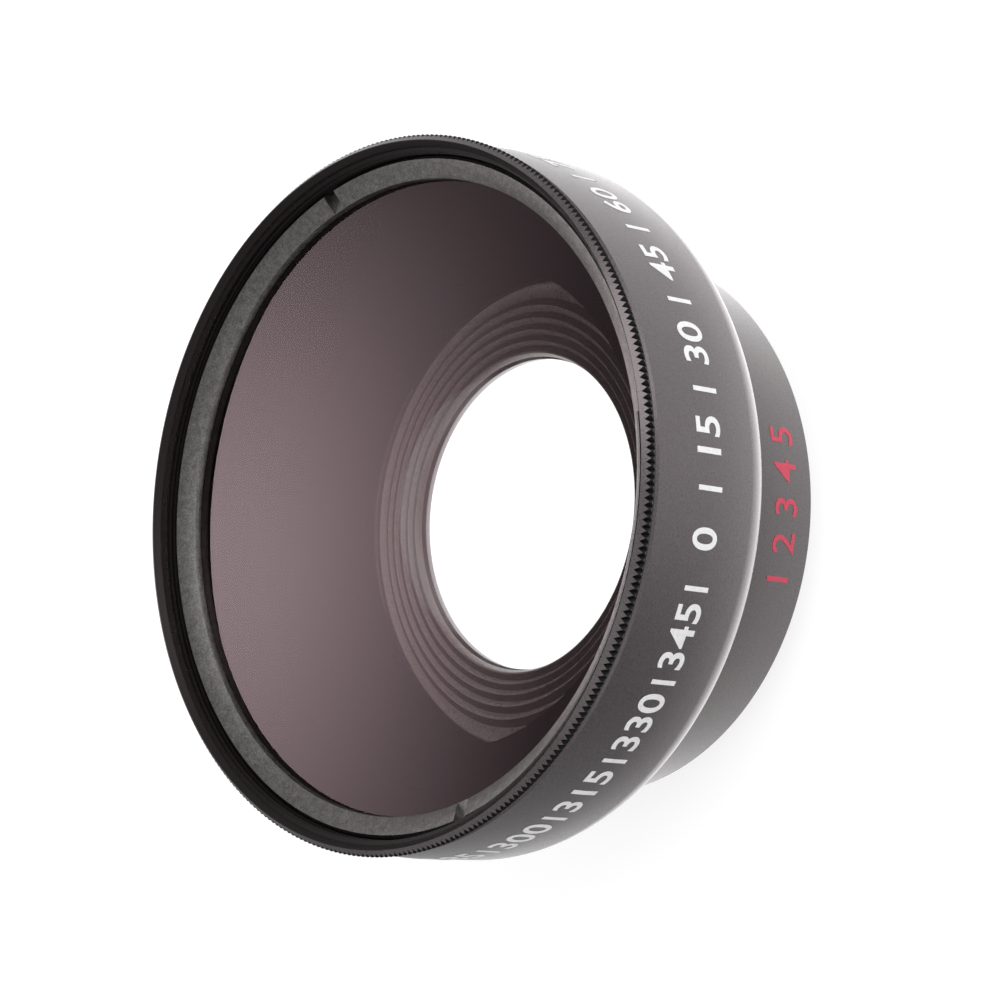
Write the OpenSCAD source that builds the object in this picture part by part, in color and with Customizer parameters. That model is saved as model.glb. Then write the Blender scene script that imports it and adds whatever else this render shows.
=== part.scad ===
// Wide-angle conversion lens that unscrews into two sections, for a camera lens with a filter thread.
// The optical axis is Z. The lens stands on the end of its camera thread, with the front glass up.
// Radii step outwards from the camera thread and heights stack upwards from its end.
// Threads are plain cylinders at their nominal diameter, less a small clearance on the male side.

/* [Overall] */
// Nominal diameter of the thread that screws into the camera lens
camera_thread_d = 52; // [46:0.5:62]
// Step in radius from the camera thread out to the front filter thread
front_step = 10; // [8.5:0.1:12]
// Diametral play of a male thread in its female thread
thread_play = 0.1; // [0.06:0.02:0.18]
// Radial play of a glass in its bore
glass_play = 0.1; // [0.05:0.01:0.2]
// Play between the two sections where their faces meet
face_play = 0.05; // [0.02:0.01:0.1]
// Play between the macro element's faces and the edges that hold it
seat_play = 0.02; // [0.01:0.01:0.05]

/* [Front barrel] */
// Wall between the filter thread and the crests of the knurl
rim_wall = 1.3; // [1.2:0.05:2]
// Wall between the filter thread's radius and the bowl, behind the knurl
bowl_front_wall = 1.05; // [0.8:0.05:1.3]
// Wall between the filter thread's radius and the full bowl
bowl_wall = 1.4; // [1.35:0.05:2]
// Distance behind the rim at which the bowl has its full diameter
bowl_full = 9; // [5:0.1:12]
// Radius of the rounded shoulder
shoulder_r = 5; // [3:0.1:6]
// Floor under the front glass, from its flange to the shoulder's rear face
floor_wall = 0.68; // [0.5:0.01:1.5]
// Length of the neck behind the shoulder
neck_len = 4; // [3.4:0.1:6]
// Wall of the neck round the joining thread
neck_wall = 2; // [1.5:0.1:3]
// Width of the flat lip at the very front
lip_land = 0.04; // [0.02:0.01:0.1]
// Depth of the countersink that leads into the filter thread
lead_in_h = 0.7; // [0.4:0.05:1]

/* [Knurl] */
// Number of grooves round the rim
knurl_teeth = 340; // [90:10:360]
// Depth of a groove
knurl_depth = 0.37; // [0.2:0.01:0.45]
// Length of the knurled band, both chamfers included
knurl_len = 1.8; // [1.5:0.1:3]
// Chamfer on the front of the band
knurl_front_chamfer = 0.7; // [0.5:0.05:0.8]
// How far the relief behind the band is cut below the grooves
relief_below = 0.08; // [0.05:0.01:0.15]

/* [Front glass] */
// Distance of its flat front face behind the rim
front_glass_set = 4.15; // [3.6:0.05:5]
// Step in radius from the retaining ring's thread in to the glass bore
front_glass_step = 0.4; // [0.3:0.05:0.8]
// Thickness of the front element at its middle
front_glass_ct = 6.1; // [4:0.1:8]
// Radius of its hollow rear face
front_hollow_r = 41.5; // [34:0.5:60]
// Width of its flat rear flange, round the hollow
front_flange_w = 4.8; // [4.2:0.1:7]
// Width of the bevel round its rear edge
front_bevel_w = 4.4; // [3.6:0.1:5]
// Length of that bevel
front_bevel_h = 5; // [4:0.1:6]

/* [Front retaining ring] */
// How much smaller the ring's own thread is than the filter thread, across
front_ring_less = 1; // [0.8:0.1:1.4]
// Run-out of the ring's thread behind the front face of the glass
front_ring_runout = 0.75; // [0.5:0.05:1]
// Width of the ring
front_ring_w = 2.3; // [1.8:0.05:3]
// Width of the bevel outside its ridge
front_ring_bevel = 0.43; // [0.3:0.01:0.8]
// Height of the ridge above the glass
front_ring_h = 2.02; // [1.6:0.02:2.4]
// How far the outer edge lies below the ridge
front_ring_edge_drop = 0.5; // [0.3:0.02:0.9]
// How far the inner edge lies below the ridge
front_ring_lip_drop = 1.11; // [0.8:0.01:1.3]
// Width of a spanner slot
front_slot_w = 1.6; // [1:0.1:2.5]
// Depth of the slot's floor below the inner edge
front_slot_floor = 0.05; // [0:0.01:0.3]
// Turn of the spanner slots about the axis, in degrees
slot_turn = 28; // [0:1:180]

/* [Joining thread] */
// Step in radius from the camera thread out to the joining thread
join_step = 2; // [1.5:0.1:3]
// Length of the male thread on the macro section
join_thread_len = 3.4; // [2.8:0.1:4]
// Step in radius from the joining thread in to the opening behind the front glass
seat_step = 0.5; // [0.3:0.05:1]

/* [Macro section] */
// Height of the macro ring, from its rear face to the seam
macro_ring_h = 10.13; // [8:0.01:14]
// How much smaller the macro ring is than the neck, on the radius
macro_ring_step = 0.05; // [0:0.01:0.3]
// Chamfer on the ring's edges
macro_chamfer = 0.35; // [0.2:0.05:0.6]
// Length of the camera thread with its relief groove
camera_thread_len = 4.2; // [3.6:0.1:5]
// Wall inside the camera thread
camera_wall = 1.7; // [1.4:0.1:2.5]
// Width of the relief groove between the thread and the ring
relief_w = 0.8; // [0.5:0.1:1.2]
// Depth of the relief groove
relief_depth = 0.45; // [0.2:0.05:0.5]
// How far the groove is cut into the ring's rear face, and out past the thread
relief_over = 0.3; // [0.2:0.05:0.6]
// Wall of the spigot round the mouth of the baffle
baffle_wall = 1.4; // [1.1:0.1:2]
// Depth of the baffle's first step below the spigot's end
baffle_set = 2.4; // [1:0.1:4]
// Number of equal steps from the mouth down to the ledge
baffle_steps = 5; // [3:1:8]

/* [Macro glass] */
// Radius of both faces of the macro element
macro_face_r = 100; // [80:1:200]
// Thickness of the macro element at its edge
macro_glass_edge = 2.1; // [1.6:0.1:2.6]
// Height of the macro element's front edge above the end of the camera thread
macro_seat_z = 8; // [6.6:0.1:9.4]
// Width of the ledge that the macro element rests against
macro_ledge_w = 2.75; // [2.2:0.05:3.3]
// Thickness of that ledge, which is the baffle's last step
macro_ledge_h = 1.9; // [1.2:0.1:2.6]
// Width of the ring that holds the macro element
macro_keeper_w = 2.75; // [2.2:0.05:3.3]
// Height of that ring
macro_keeper_h = 2.5; // [2:0.1:3]
// Width of its spanner slots
macro_slot_w = 1.4; // [1:0.1:2]
// Depth of its spanner slots
macro_slot_h = 1; // [0.6:0.1:1.4]

/* [Hidden] */
$fn = 180;

// How far a cut runs past the surface that it opens
cut = 1;
// How far the bowl's side stays inside the shoulder's circle where they meet
shoulder_blend = 0.01;
// Angle at which the shoulder's circle ends in the flat rear face
shoulder_end = 10;
// Height of the slope that leads from the bowl into the relief behind the knurl
relief_rise = 0.3;

// How far a face of the macro element has fallen away at a distance from the axis
function face_sag(r) = macro_face_r - sqrt(pow(macro_face_r, 2) - pow(r, 2));

// Radii, from the camera thread outwards
male_less = thread_play / 2;
camera_r = camera_thread_d / 2;
join_r = camera_r + join_step;
neck_r = join_r + neck_wall;
seat_bore_r = join_r - seat_step;
filter_r = camera_r + front_step;
rim_r = filter_r + rim_wall;
bowl_r = filter_r + bowl_wall;
bowl_front_r = filter_r + bowl_front_wall;
root_r = rim_r - knurl_depth;
relief_r = root_r - relief_below;
lip_r = rim_r - knurl_front_chamfer;
ring_bore_r = filter_r - front_ring_less / 2;
front_ring_r = ring_bore_r - male_less;
glass_bore_r = ring_bore_r - front_glass_step;
glass_r = glass_bore_r - glass_play;
flange_r = glass_r - front_bevel_w;
hollow_edge_r = flange_r - front_flange_w;
macro_bore_r = camera_r - camera_wall;
macro_glass_r = macro_bore_r - glass_play;
ledge_r = macro_bore_r - macro_ledge_w;
keeper_r = macro_bore_r - male_less;
keeper_bore_r = keeper_r - macro_keeper_w;

// Heights, from the end of the camera thread upwards
ring_top_z = camera_thread_len + macro_ring_h;
seam_z = ring_top_z + face_play;
spigot_top_z = ring_top_z + join_thread_len;
shoulder_face_z = seam_z + neck_len;
shoulder_z = shoulder_face_z + shoulder_r * cos(shoulder_end);
flange_z = shoulder_face_z + floor_wall;
hollow_sag = front_hollow_r - sqrt(pow(front_hollow_r, 2) - pow(hollow_edge_r, 2));
glass_front_z = flange_z + hollow_sag + front_glass_ct;
rim_z = glass_front_z + front_glass_set;
band_rear_z = rim_z - knurl_len;
filter_floor_z = glass_front_z + front_ring_h;
macro_sag = face_sag(macro_glass_r);
ledge_z = macro_seat_z + macro_sag - face_sag(ledge_r) + seat_play;
macro_back_z = macro_seat_z - macro_glass_edge;
keeper_top_z = macro_back_z - macro_sag + face_sag(keeper_bore_r) - seat_play;
keeper_z = keeper_top_z - macro_keeper_h;

front_barrel_colour = [0.30, 0.285, 0.285];
front_ring_colour = [0.46, 0.455, 0.455];
glass_colour = [0.42, 0.37, 0.385, 0.6];
macro_colour = [0.27, 0.255, 0.255];

// Outline of the barrel's outside, from the axis out. The bowl's side runs on to a corner,
// and what lies outside the shoulder's circle is taken off that corner.
module barrel_outside() {
    side_r = bowl_r - shoulder_blend;
    intersection() {
        polygon([
            [0, seam_z],
            [neck_r, seam_z],
            [neck_r, shoulder_face_z],
            [side_r, shoulder_face_z],
            [side_r, rim_z - bowl_full],
            [bowl_front_r, band_rear_z - relief_rise],
            [relief_r, band_rear_z],
            [rim_r, band_rear_z + rim_r - relief_r],
            [rim_r, rim_z - knurl_front_chamfer],
            [lip_r, rim_z],
            [0, rim_z]
        ]);
        union() {
            translate([bowl_r - shoulder_r, shoulder_z]) circle(r = shoulder_r);
            translate([0, shoulder_z]) square([max(rim_r, bowl_r) + cut, rim_z - shoulder_z + cut]);
            square([bowl_r - shoulder_r, shoulder_z + cut]);
        }
    }
}

// The opening through the barrel: joining thread, seat, glass bore, ring thread, filter thread, mouth
module barrel_inside() {
    flange_bore_r = flange_r + glass_play;
    join_floor_z = spigot_top_z + thread_play;
    runout_z = glass_front_z - front_ring_runout;
    mouth_r = lip_r - lip_land;
    polygon([
        [0, seam_z - cut],
        [join_r, seam_z - cut],
        [join_r, join_floor_z],
        [seat_bore_r, join_floor_z],
        [seat_bore_r, flange_z],
        [flange_bore_r, flange_z],
        [glass_bore_r, flange_z + front_bevel_h],
        [glass_bore_r, runout_z],
        [ring_bore_r, runout_z],
        [ring_bore_r, filter_floor_z],
        [filter_r, filter_floor_z],
        [filter_r, rim_z - lead_in_h],
        [mouth_r, rim_z],
        [mouth_r, rim_z + cut],
        [0, rim_z + cut]
    ]);
}

// Everything outside the teeth, as a slice to cut away from the rim
module knurl_waste() {
    tip_r = rim_r + relief_below;
    pitch = 360 / knurl_teeth;
    difference() {
        circle(r = rim_r + cut);
        polygon([for (i = [0 : knurl_teeth - 1], half = [0, 1])
            let (r = half == 0 ? tip_r : root_r, a = (i + half / 2) * pitch)
            [r * cos(a), r * sin(a)]]);
    }
}

module front_barrel() {
    color(front_barrel_colour)
    difference() {
        rotate_extrude() difference() {
            barrel_outside();
            barrel_inside();
        }
        translate([0, 0, band_rear_z]) linear_extrude(knurl_len + cut) knurl_waste();
    }
}

module front_element() {
    color(glass_colour)
    difference() {
        rotate_extrude() polygon([
            [0, flange_z],
            [flange_r, flange_z],
            [glass_r, flange_z + front_bevel_h],
            [glass_r, glass_front_z],
            [0, glass_front_z]
        ]);
        translate([0, 0, glass_front_z - front_glass_ct - front_hollow_r]) sphere(r = front_hollow_r);
    }
}

module front_retaining_ring() {
    bore_r = front_ring_r - front_ring_w;
    lip_h = front_ring_h - front_ring_lip_drop;
    color(front_ring_colour)
    difference() {
        translate([0, 0, glass_front_z]) rotate_extrude() polygon([
            [bore_r, 0],
            [front_ring_r, 0],
            [front_ring_r, front_ring_h - front_ring_edge_drop],
            [front_ring_r - front_ring_bevel, front_ring_h],
            [bore_r, lip_h]
        ]);
        for (side = [0, 180])
            rotate([0, 0, slot_turn + side])
            translate([bore_r - cut, -front_slot_w / 2, glass_front_z + lip_h - front_slot_floor])
            cube([front_ring_w + 2 * cut, front_slot_w, front_ring_h]);
    }
}

// Outline of the macro housing's camera thread, ring and spigot
module macro_outside() {
    ring_r = neck_r - macro_ring_step;
    thread_r = camera_r - male_less;
    spigot_r = join_r - male_less;
    polygon([
        [0, 0],
        [thread_r - macro_chamfer, 0],
        [thread_r, macro_chamfer],
        [thread_r, camera_thread_len - relief_w],
        [thread_r - relief_depth, camera_thread_len - relief_w],
        [thread_r - relief_depth, camera_thread_len + relief_over],
        [thread_r + relief_over, camera_thread_len + relief_over],
        [thread_r + relief_over, camera_thread_len],
        [ring_r - macro_chamfer, camera_thread_len],
        [ring_r, camera_thread_len + macro_chamfer],
        [ring_r, ring_top_z],
        [spigot_r, ring_top_z],
        [spigot_r, spigot_top_z - macro_chamfer],
        [spigot_r - macro_chamfer, spigot_top_z],
        [0, spigot_top_z]
    ]);
}

// The bore for the macro element, the ledge and the stepped baffle
module macro_inside() {
    mouth_r = join_r - baffle_wall;
    first_step_z = spigot_top_z - baffle_set;
    step_in = (mouth_r - ledge_r) / baffle_steps;
    step_h = (first_step_z - ledge_z - macro_ledge_h) / (baffle_steps - 1);
    polygon(concat(
        [[0, -cut], [macro_bore_r, -cut], [macro_bore_r, ledge_z], [ledge_r, ledge_z]],
        [for (i = [baffle_steps : -1 : 1], outer = [0, 1])
            [mouth_r - (i - outer) * step_in, first_step_z - (i - 1) * step_h]],
        [[mouth_r, spigot_top_z + cut], [0, spigot_top_z + cut]]
    ));
}

module macro_housing() {
    color(macro_colour)
    rotate_extrude() difference() {
        macro_outside();
        macro_inside();
    }
}

// Two shallow spherical faces on one cylindrical edge
module macro_element() {
    color(glass_colour)
    intersection() {
        translate([0, 0, macro_back_z - macro_sag])
            cylinder(r = macro_glass_r, h = macro_glass_edge + 2 * macro_sag);
        translate([0, 0, macro_seat_z + macro_sag - macro_face_r]) sphere(r = macro_face_r);
        translate([0, 0, macro_back_z - macro_sag + macro_face_r]) sphere(r = macro_face_r);
    }
}

module macro_retaining_ring() {
    color(macro_colour)
    difference() {
        translate([0, 0, keeper_z]) rotate_extrude()
            translate([keeper_bore_r, 0]) square([macro_keeper_w, macro_keeper_h]);
        for (side = [0, 180])
            rotate([0, 0, side])
            translate([keeper_bore_r - cut, -macro_slot_w / 2, keeper_z - cut])
            cube([macro_keeper_w + 2 * cut, macro_slot_w, macro_slot_h + cut]);
    }
}

front_barrel();
front_element();
front_retaining_ring();
macro_housing();
macro_element();
macro_retaining_ring();
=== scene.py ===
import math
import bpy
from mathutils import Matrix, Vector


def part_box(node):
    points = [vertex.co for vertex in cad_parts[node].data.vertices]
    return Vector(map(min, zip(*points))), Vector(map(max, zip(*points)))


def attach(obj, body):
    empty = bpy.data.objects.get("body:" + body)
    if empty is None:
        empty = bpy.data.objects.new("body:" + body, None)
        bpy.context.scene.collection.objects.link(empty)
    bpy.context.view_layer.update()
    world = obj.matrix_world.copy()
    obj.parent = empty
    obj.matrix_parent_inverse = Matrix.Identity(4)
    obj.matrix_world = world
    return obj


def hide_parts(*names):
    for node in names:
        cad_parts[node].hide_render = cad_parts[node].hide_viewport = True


bl_info = {
    "name": "Wide-angle Conversion Lens",
    "version": (1, 0, 0),
    "blender": (4, 5, 0),
    "location": "View3D > Sidebar > Lens",
    "description": "Models a wide-angle conversion lens with its macro section and a small studio",
    "category": "Object",
}

import bpy
from bpy.props import FloatProperty, FloatVectorProperty, IntProperty, PointerProperty
from mathutils import Matrix, Vector

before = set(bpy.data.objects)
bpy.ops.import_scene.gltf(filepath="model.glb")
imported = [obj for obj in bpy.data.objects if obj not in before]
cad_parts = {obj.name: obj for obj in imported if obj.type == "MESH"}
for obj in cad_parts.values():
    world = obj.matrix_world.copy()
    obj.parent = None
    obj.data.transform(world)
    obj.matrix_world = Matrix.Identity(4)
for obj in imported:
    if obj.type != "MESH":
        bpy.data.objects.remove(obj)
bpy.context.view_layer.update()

MM = 0.001
FRONT = "front_section"
MACRO = "macro_section"

# Vertices closer than this are merged, in metres
WELD = 2e-7
# Angle in degrees from which an edge is shaded as sharp
SHARP = 30
# Faces of two pieces that touch are set this far apart, in millimetres
APART = 0.02

# Form of the fine threads, in millimetres, and their steps for a turn
CORE_DEPTH = 0.4
SUNK = 0.06
THREAD_STEPS = 240

# Scales of the noise in the finishes, and height of the blasted grain in metres
GRAIN_SCALE = 5200
CLOUD_SCALE = 90
METAL_CLOUD_SCALE = 1400
PAINT_SCALE = 3000
INK_SCALE = 2600
GRAIN_HEIGHT = 0.00004

# Tints of the reflections, and colours of the paints inside, in linear light. Some of them paint shade or
# light, as noted
ANODISED_TINT = (1.0, 0.87, 0.90)
PAINT_TINT = (1.0, 0.84, 0.86)
WHITE = (1.0, 1.0, 1.0)
# Black inside the mouth and the filter thread, darker and less glossy than the barrel: the barrel's own
# black deepened by painted shade
INSIDE_BLACK_AND_SHADE = (0.005, 0.004, 0.004)
FLANGE_BLACK = (0.001, 0.001, 0.001)
BAFFLE_BLACK = (0.018, 0.013, 0.012)
# Painted light: a lighter colour for the baffle's walls, standing in for the light they catch
BAFFLE_WALL_PAINTED_LIGHT = (0.17, 0.132, 0.126)
EDGE_BLACK = (0.006, 0.005, 0.005)
# Painted shade in the knurl's grooves, from black at the bottom to a lighter black at the crests
GROOVE_PAINTED_SHADE = (0.002, 0.002, 0.002)
CREST_BLACK = (0.03, 0.03, 0.03)

# Refraction of the optical glass, and the reflection level of its well coated faces
GLASS_IOR = 1.52
WEAK_REFLECTION = 0.12

# The printed figures, in millimetres: how far the ink stands out and goes in, the width of a tick,
# and how much the strokes of each colour are thickened
INK_H = 0.03
TICK_W = 0.5
WHITE_WEIGHT = 0.07
RED_WEIGHT = 0.03
# Height of a figure as a share of the font's size, and how far apart its digits stand
FIGURE_SHARE = 0.7
FIGURE_SPACING = 1.05
RED_FIGURES = "12345"
# Turn of the first red figure and the turn between two, in degrees
RED_START = -96
RED_STEP = 7.2

# Brightness of the floor for the camera, and for light that has passed the glass
FLOOR_GLOW = 0.75
FLOOR_THROUGH_GLASS = 1.3
# Brightness that changes over a stretch: its first and last value, and where it starts and ends.
# The floor's stretches are in metres, and the others are parts of a unit direction.
FLOOR_ACROSS = (0.5, 1.55, -0.05, 0.03)
FLOOR_AWAY = (1.0, 0.55, 0.06, 0.22)
FOOT_GLOW = (1.7, 0.0, 0.036, 0.062)
BEHIND = (0.65, 0.485, 0.0, 0.6)
CEILING = (1.2, 0.0, -0.65, 0.0)
SURROUND = (1.0, 0.0, 0.54, 0.62)
PANEL_TOP = (4.5, 0.0, 0.64, 0.7255)
PANEL_SIDE = (1.0, 0.0, 0.0, 0.193)
PANEL_FRONT = (0.0, 1.0, 0.3, 0.5)
PANEL_MIDDLE = -0.035

# Largest upward part of the normal at which a face of the knurl gets its painted groove shade, or a face
# of the baffle its painted light
KNURL_STEEP = 0.35
BAFFLE_STEEP = 0.93

# Lamps: name, place, width and power
LAMPS = (
    ("overhead_softbox", (0.62, -0.50, 0.55), 0.7, 5),
    ("side_fill", (-0.5, -0.6, 0.5), 0.6, 0.6),
)
LAMP_TARGET = (0, 0, 0.02)

# The camera: width of its sensor in millimetres, nearest distance and how the picture is turned
SENSOR_W = 36
NEAREST = 0.01
PICTURE_RIGHT = (0.139, -0.697, -0.704)
PICTURE_UP = (0.990, 0.098, 0.099)


def corners(node):
    """Lowest and highest corner of a CAD node, in millimetres."""
    low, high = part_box(node)
    return low / MM, high / MM


# Heights and radii that the frame gives, in millimetres
RIM_Z = corners("front_barrel")[1].z
SEAM_Z = corners("front_barrel")[0].z
GLASS_R = corners("front_element")[1].x
GLASS_Z = corners("front_element")[1].z
FLANGE_Z = corners("front_element")[0].z
RING_R = corners("front_retaining_ring")[1].x
RIDGE_Z = corners("front_retaining_ring")[1].z
MACRO_R = corners("macro_housing")[1].x
SPIGOT_Z = corners("macro_housing")[1].z
FOOT_Z = corners("macro_housing")[0].z
MACRO_GLASS_R = corners("macro_element")[1].x
MACRO_GLASS_LOW = corners("macro_element")[0].z
MACRO_GLASS_HIGH = corners("macro_element")[1].z
KEEPER_R = corners("macro_retaining_ring")[1].x
KEEPER_LOW = corners("macro_retaining_ring")[0].z
KEEPER_HIGH = corners("macro_retaining_ring")[1].z


# Sizes and colours that a user would change

def size(label, text, default):
    """A length in metres, written here in millimetres."""
    return FloatProperty(name=label, description=text, default=default * MM, unit="LENGTH", precision=6)


def tint(label, text, default):
    """A colour in linear light."""
    return FloatVectorProperty(
        name=label, description=text, default=default, subtype="COLOR", size=3, min=0, max=1
    )


class BarrelSettings(bpy.types.PropertyGroup):
    teeth: IntProperty(name="Teeth", description="Grooves round the knurl", default=340, min=60)
    rim_r: size("Rim radius", "Radius over the crests of the knurl", 37.3)
    groove: size("Groove depth", "Depth of a groove of the knurl", 0.37)
    band: size("Band", "Length of the knurled band", 1.8)
    front_chamfer: size("Front chamfer", "Chamfer on the front of the band", 0.7)
    rear_chamfer: size("Rear chamfer", "Depth of the chamfer on the rear of the band", 0.45)
    rear_slope: size("Rear slope", "Length of the chamfer on the rear of the band", 0.8)
    bowl_front_r: size("Bowl front radius", "Radius of the bowl behind the knurl", 37.05)
    bowl_r: size("Bowl radius", "Greatest radius of the bowl", 37.4)
    bowl_full: size("Full bowl", "Distance behind the rim at which the bowl has its full radius", 9)
    shoulder_start: size("Shoulder start", "Distance of the shoulder behind the rim", 15)
    shoulder_r: size("Shoulder radius", "Radius of the rounded shoulder", 5)
    neck_r: size("Neck radius", "Radius of the neck", 30)
    join_r: size("Joining bore", "Radius of the joining thread's bore", 28)
    seat_r: size("Seat opening", "Radius of the opening behind the glass", 27.5)
    flange_bore_r: size("Flange bore", "Radius of the bore round the glass's flange", 30.7)
    glass_bore_r: size("Glass bore", "Radius of the bore round the glass", 35.1)
    ring_bore_r: size("Ring bore", "Radius of the retaining ring's thread", 35.5)
    filter_r: size("Filter thread", "Radius of the filter thread", 36)
    filter_crest_r: size("Thread crest", "Radius over the crests of the filter thread", 35.62)
    lead_in: size("Lead-in", "Depth of the countersink at the mouth", 0.7)
    pitch: size("Pitch", "Pitch of the fine threads", 0.75)
    black: tint("Anodised black", "Colour of the anodised barrel", (0.016, 0.0145, 0.015))


class GlassSettings(bpy.types.PropertyGroup):
    middle: size("Middle thickness", "Thickness of the front element at its middle", 6.1)
    hollow_r: size("Hollow radius", "Radius of the hollow rear face", 41.5)
    hollow_edge_r: size("Hollow edge", "Radius of the hollow's edge", 25.8)
    flange_r: size("Flange radius", "Radius of the flat flange inside the bevel", 30.6)
    bevel: size("Bevel", "Length of the bevel round the rear edge", 5)
    macro_face_r: size("Macro face radius", "Radius of the macro element's faces", 100)
    clear: tint("Glass", "Tint of the clear glass", (1.0, 1.0, 1.0))
    coating: tint("Coating", "Tint of the light that the coating throws back", (1.0, 0.64, 0.72))


class RingSettings(bpy.types.PropertyGroup):
    bore_r: size("Bore", "Radius of the opening", 33.15)
    ridge_r: size("Ridge", "Radius of the ridge", 35.025)
    edge_h: size("Edge height", "Height of the outer edge", 1.52)
    lip_h: size("Lip height", "Height of the inner edge", 0.91)
    slot_w: size("Slot width", "Width of a spanner slot", 1.6)
    slot_floor: size("Slot floor", "Depth of the slot's floor below the inner edge", 0.05)
    slot_turn: FloatProperty(
        name="Slot turn", description="Turn of the slots", default=math.radians(28), subtype="ANGLE"
    )
    grey: tint("Ring grey", "Colour of the ring", (0.20, 0.193, 0.188))


class MacroSettings(bpy.types.PropertyGroup):
    chamfer: size("Chamfer", "Chamfer on the ring's edges", 0.35)
    ring_gap: size("Seam gap", "Gap between the two sections", 0.05)
    spigot_r: size("Spigot radius", "Radius over the male joining thread", 27.95)
    thread_r: size("Thread radius", "Radius over the camera thread", 25.95)
    thread_len: size("Thread length", "Length of the camera thread", 4.2)
    relief_w: size("Relief width", "Width of the groove behind the thread", 0.8)
    relief_over: size("Relief reach", "How far that groove goes into the ring and past the thread", 0.3)
    mouth_r: size("Baffle mouth", "Opening of the baffle at the spigot's end", 26.6)
    baffle_set: size("Baffle set", "Depth of the baffle's first step below the spigot's end", 2.4)
    baffle_steps: IntProperty(name="Steps", description="Steps down to the ledge", default=5, min=2)
    edge_round: size("Edge round", "Rounding of the baffle's edges", 0.3)
    ledge_r: size("Ledge opening", "Radius of the ledge's opening", 21.55)
    ledge_z: size("Ledge height", "Height of the ledge's rear face", 8.642)
    ledge_h: size("Ledge thickness", "Thickness of the ledge, the baffle's last step", 1.9)
    bore_r: size("Glass bore", "Radius of the macro element's bore", 24.3)
    keeper_bore_r: size("Keeper bore", "Opening of the rear retaining ring", 21.5)
    slot_w: size("Slot width", "Width of its spanner slots", 1.4)
    slot_h: size("Slot depth", "Depth of its spanner slots", 1)
    black: tint("Macro black", "Colour of the anodised macro housing", (0.015, 0.013, 0.013))


class PrintSettings(bpy.types.PropertyGroup):
    band_z: size("Band height", "Height of the middle of the printed band", 29.1)
    letter_h: size("Figure height", "Height of the white figures", 3.3)
    step: IntProperty(name="Step", description="Degrees between two figures", default=15, min=10)
    red_z: size("Red height", "Height of the middle of the red figures", 8.4)
    red_h: size("Red figure height", "Height of the red figures", 3.4)
    white: tint("White ink", "Colour of the figures on the bowl", (0.95, 0.95, 0.95))
    red: tint("Red ink", "Colour of the figures on the macro ring", (0.56, 0.025, 0.07))


class StageSettings(bpy.types.PropertyGroup):
    floor: tint("Floor", "Colour of the floor", (0.40, 0.40, 0.40))
    half_width: FloatProperty(
        name="Half width", description="Half the floor's side", default=4, unit="LENGTH"
    )
    focal: FloatProperty(name="Focal length", description="The camera's focal length", default=104.75)
    eye: FloatVectorProperty(
        name="Eye",
        description="Where the camera stands",
        default=(0.00096, -0.22156, 0.23973),
        unit="LENGTH",
        size=3,
    )


def barrel():
    return bpy.context.scene.lens_barrel


def glass():
    return bpy.context.scene.lens_glass


def ring():
    return bpy.context.scene.lens_ring


def macro():
    return bpy.context.scene.lens_macro


def marks():
    return bpy.context.scene.lens_print


def studio():
    return bpy.context.scene.lens_stage


# Outlines, as lists of (radius, height) in millimetres

def arc(centre, radius, start, end, steps):
    """Points on a circle, from one angle to another, in degrees."""
    turn = [math.radians(start + (end - start) * i / steps) for i in range(steps + 1)]
    return [(centre[0] + radius * math.cos(a), centre[1] + radius * math.sin(a)) for a in turn]


def eased(points, radius, steps):
    """The closed outline with each corner rounded a little. A point's third value is its own radius."""
    out = []
    for i, here in enumerate(points):
        before, after = points[i - 1], points[(i + 1) % len(points)]
        legs = []
        for other in (before, after):
            run = math.dist(here[:2], other[:2])
            reach = min(here[2] if len(here) > 2 else radius, run * 0.3)
            legs.append([here[k] + (other[k] - here[k]) * reach / run for k in (0, 1)])
        for step in range(steps + 1):
            t = step / steps
            weight = ((1 - t) ** 2, 2 * t * (1 - t), t * t)
            corner = zip(legs[0], here[:2], legs[1])
            out.append(tuple(sum(w * c for w, c in zip(weight, trio)) for trio in corner))
    return out


# Modelling with mesh operators

def clear_selection():
    """Leaves edit mode and deselects everything."""
    if bpy.context.object and bpy.context.object.mode != "OBJECT":
        bpy.ops.object.mode_set(mode="OBJECT")
    bpy.ops.object.select_all(action="DESELECT")


def lone_vertex(name, at):
    """A new object in edit mode that holds one vertex at (radius, height)."""
    clear_selection()
    bpy.ops.mesh.primitive_plane_add(size=MM)
    piece = bpy.context.object
    piece.name = name
    bpy.ops.object.mode_set(mode="EDIT")
    bpy.ops.mesh.select_mode(type="VERT")
    bpy.ops.mesh.select_all(action="SELECT")
    bpy.ops.mesh.merge(type="CENTER")
    bpy.ops.transform.translate(value=(at[0] * MM, 0, at[1] * MM))
    return piece


def draw_outline(points, closed):
    """Extrudes the selected vertex from point to point."""
    path = points[1:] + points[:1] if closed else points[1:]
    here = points[0]
    for point in path:
        step = ((point[0] - here[0]) * MM, 0, (point[1] - here[1]) * MM)
        bpy.ops.mesh.extrude_region_move(TRANSFORM_OT_translate={"value": step})
        here = point


def close_up():
    """Merges what coincides and turns the faces outwards."""
    bpy.ops.mesh.select_all(action="SELECT")
    bpy.ops.mesh.remove_doubles(threshold=WELD)
    bpy.ops.mesh.normals_make_consistent(inside=False)


def turned(name, points, steps, closed=True, sharp=SHARP):
    """A piece turned on the lathe: its outline is drawn and spun round the axis."""
    piece = lone_vertex(name, points[0])
    draw_outline(points, closed)
    bpy.ops.mesh.select_all(action="SELECT")
    bpy.ops.mesh.remove_doubles(threshold=WELD)
    bpy.ops.mesh.spin(
        steps=steps, angle=math.tau, center=(0, 0, 0), axis=(0, 0, 1), use_auto_merge=False
    )
    close_up()
    finish_piece(piece, sharp)
    return piece


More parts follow.
